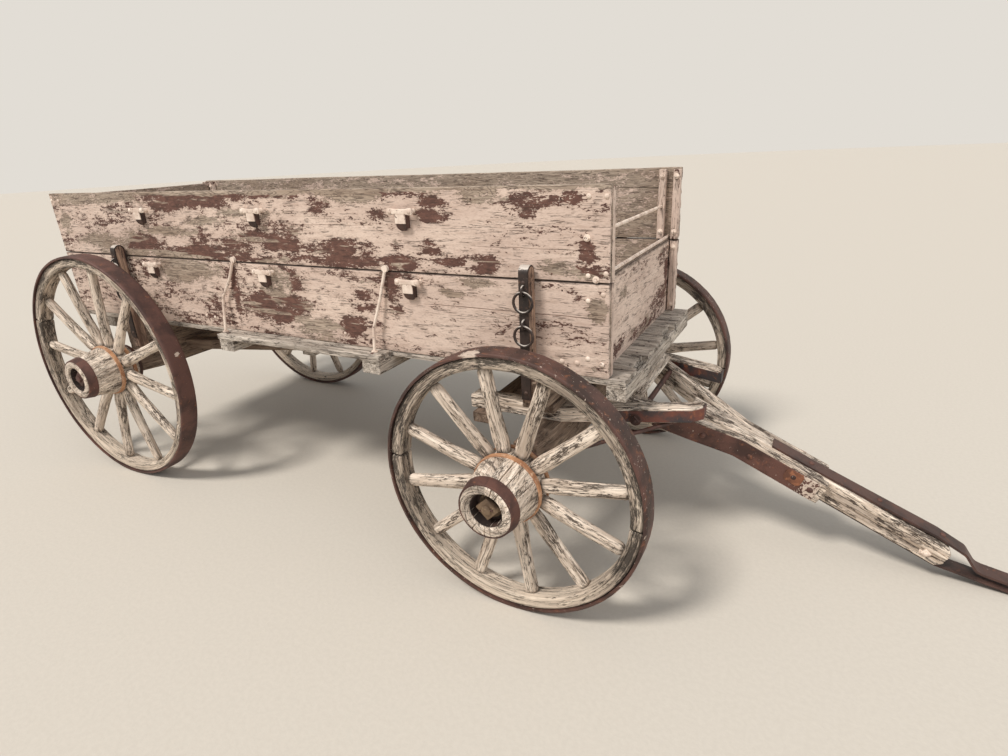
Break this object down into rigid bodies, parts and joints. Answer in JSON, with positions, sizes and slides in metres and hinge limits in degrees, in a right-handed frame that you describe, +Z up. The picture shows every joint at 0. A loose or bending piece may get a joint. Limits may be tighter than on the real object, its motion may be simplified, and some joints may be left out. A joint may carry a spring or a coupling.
{
  "type": "hay wagon",
  "caption": "Old wooden farm box wagon with spoked iron-tyred wheels, steering front gear, hinged drop tongue, side step and lift-out rear gate.",
  "frame": {"origin": "centre of the wagon's length and width, on the ground", "axes": "+X forward towards the tongue, +Y to the wagon's left, +Z up"},
  "size_m": [4.7073, 1.944, 1.486],
  "materials": {
    "tyre_iron": "rust-brown rolled tyre, smooth, flecked with old paint",
    "band_iron": "rusted hub bands, orange beside the spokes",
    "gear_iron": "dark rusted iron straps, skeins, bolts and rods",
    "painted_iron": "old cream paint over rust",
    "painted_board": "cream-pink paint flaking off boards to grey wood and brown primer",
    "grey_wood": "bare weathered grey boards",
    "rim_wood": "bare weathered bent rims with black checks",
    "spoke_wood": "bare weathered oval spokes",
    "hub_wood": "bare dark hub wood with end checks",
    "tongue_wood": "sun-bleached grey-white timber with long checks",
    "gear_wood": "shaded brown-grey timber under the box"
  },
  "bodies": {
    "wagon": {"bow_staples": "painted_iron", "cross_sills": "grey_wood", "floor_boards": "grey_wood", "front_bolster": "gear_wood", "front_gate": "painted_board", "gate_cleats": "grey_wood", "king_bolt": "gear_iron", "reach": "gear_wood", "rear_axle": "gear_wood", "rear_bolster": "gear_wood", "rear_hounds": "gear_wood", "rear_skeins": "gear_iron", "side_left_lower": "painted_board", "side_left_upper": "painted_board", "side_right_lower": "painted_board", "side_right_upper": "painted_board", "stake_irons": "gear_iron", "stake_rings": "gear_iron", "stakes": "gear_wood", "step_board": "grey_wood", "step_rods": "painted_iron", "tie_rods": "painted_iron"},
    "front_gear": {"front_axle": "gear_wood", "front_braces": "gear_iron", "front_hounds": "tongue_wood", "front_skeins": "gear_iron", "hinge_rod": "gear_iron", "hound_irons": "gear_iron", "sand_board": "gear_wood", "sway_bar": "gear_wood"},
    "tongue": {"hitch_straps": "gear_iron", "tongue_arms": "tongue_wood", "tongue_cross_piece": "tongue_wood", "tongue_irons": "gear_iron", "tongue_pole": "tongue_wood"},
    "rear_gate_board": {"rear_gate": "painted_board"},
    "wheel_front_right": {"wheel_front_right_hub": "hub_wood", "wheel_front_right_hub_bands": "band_iron", "wheel_front_right_rim": "rim_wood", "wheel_front_right_spokes": "spoke_wood", "wheel_front_right_tyre": "tyre_iron"},
    "wheel_front_left": {"wheel_front_left_hub": "hub_wood", "wheel_front_left_hub_bands": "band_iron", "wheel_front_left_rim": "rim_wood", "wheel_front_left_spokes": "spoke_wood", "wheel_front_left_tyre": "tyre_iron"},
    "wheel_rear_right": {"wheel_rear_right_hub": "hub_wood", "wheel_rear_right_hub_bands": "band_iron", "wheel_rear_right_rim": "rim_wood", "wheel_rear_right_spokes": "spoke_wood", "wheel_rear_right_tyre": "tyre_iron"},
    "wheel_rear_left": {"wheel_rear_left_hub": "hub_wood", "wheel_rear_left_hub_bands": "band_iron", "wheel_rear_left_rim": "rim_wood", "wheel_rear_left_spokes": "spoke_wood", "wheel_rear_left_tyre": "tyre_iron"}
  },
  "joints": [
    {"name": "steering", "type": "hinge", "parent": "wagon", "child": "front_gear", "pos_m": [0.66434, 0, 0.5], "axis": [0, 0, 1], "range_deg": [-20, 20]},
    {"name": "tongue_lift", "type": "hinge", "parent": "front_gear", "child": "tongue", "pos_m": [0.98434, 0, 0.62], "axis": [0, -1, 0], "range_deg": [0, 50]},
    {"name": "rear_gate_lift", "type": "slide", "parent": "wagon", "child": "rear_gate_board", "axis": [0, 0, 1], "range_m": [0, 0.6]},
    {"name": "wheel_front_right_spin", "type": "hinge", "parent": "front_gear", "child": "wheel_front_right", "pos_m": [0.66434, -0.7895, 0.5], "axis": [0, 1, 0], "continuous": true},
    {"name": "wheel_front_left_spin", "type": "hinge", "parent": "front_gear", "child": "wheel_front_left", "pos_m": [0.66434, 0.7895, 0.5], "axis": [0, 1, 0], "continuous": true},
    {"name": "wheel_rear_right_spin", "type": "hinge", "parent": "wagon", "child": "wheel_rear_right", "pos_m": [-1.74966, -0.7275, 0.604], "axis": [0, 1, 0], "continuous": true},
    {"name": "wheel_rear_left_spin", "type": "hinge", "parent": "wagon", "child": "wheel_rear_left", "pos_m": [-1.74966, 0.7275, 0.604], "axis": [0, 1, 0], "continuous": true}
  ]
}
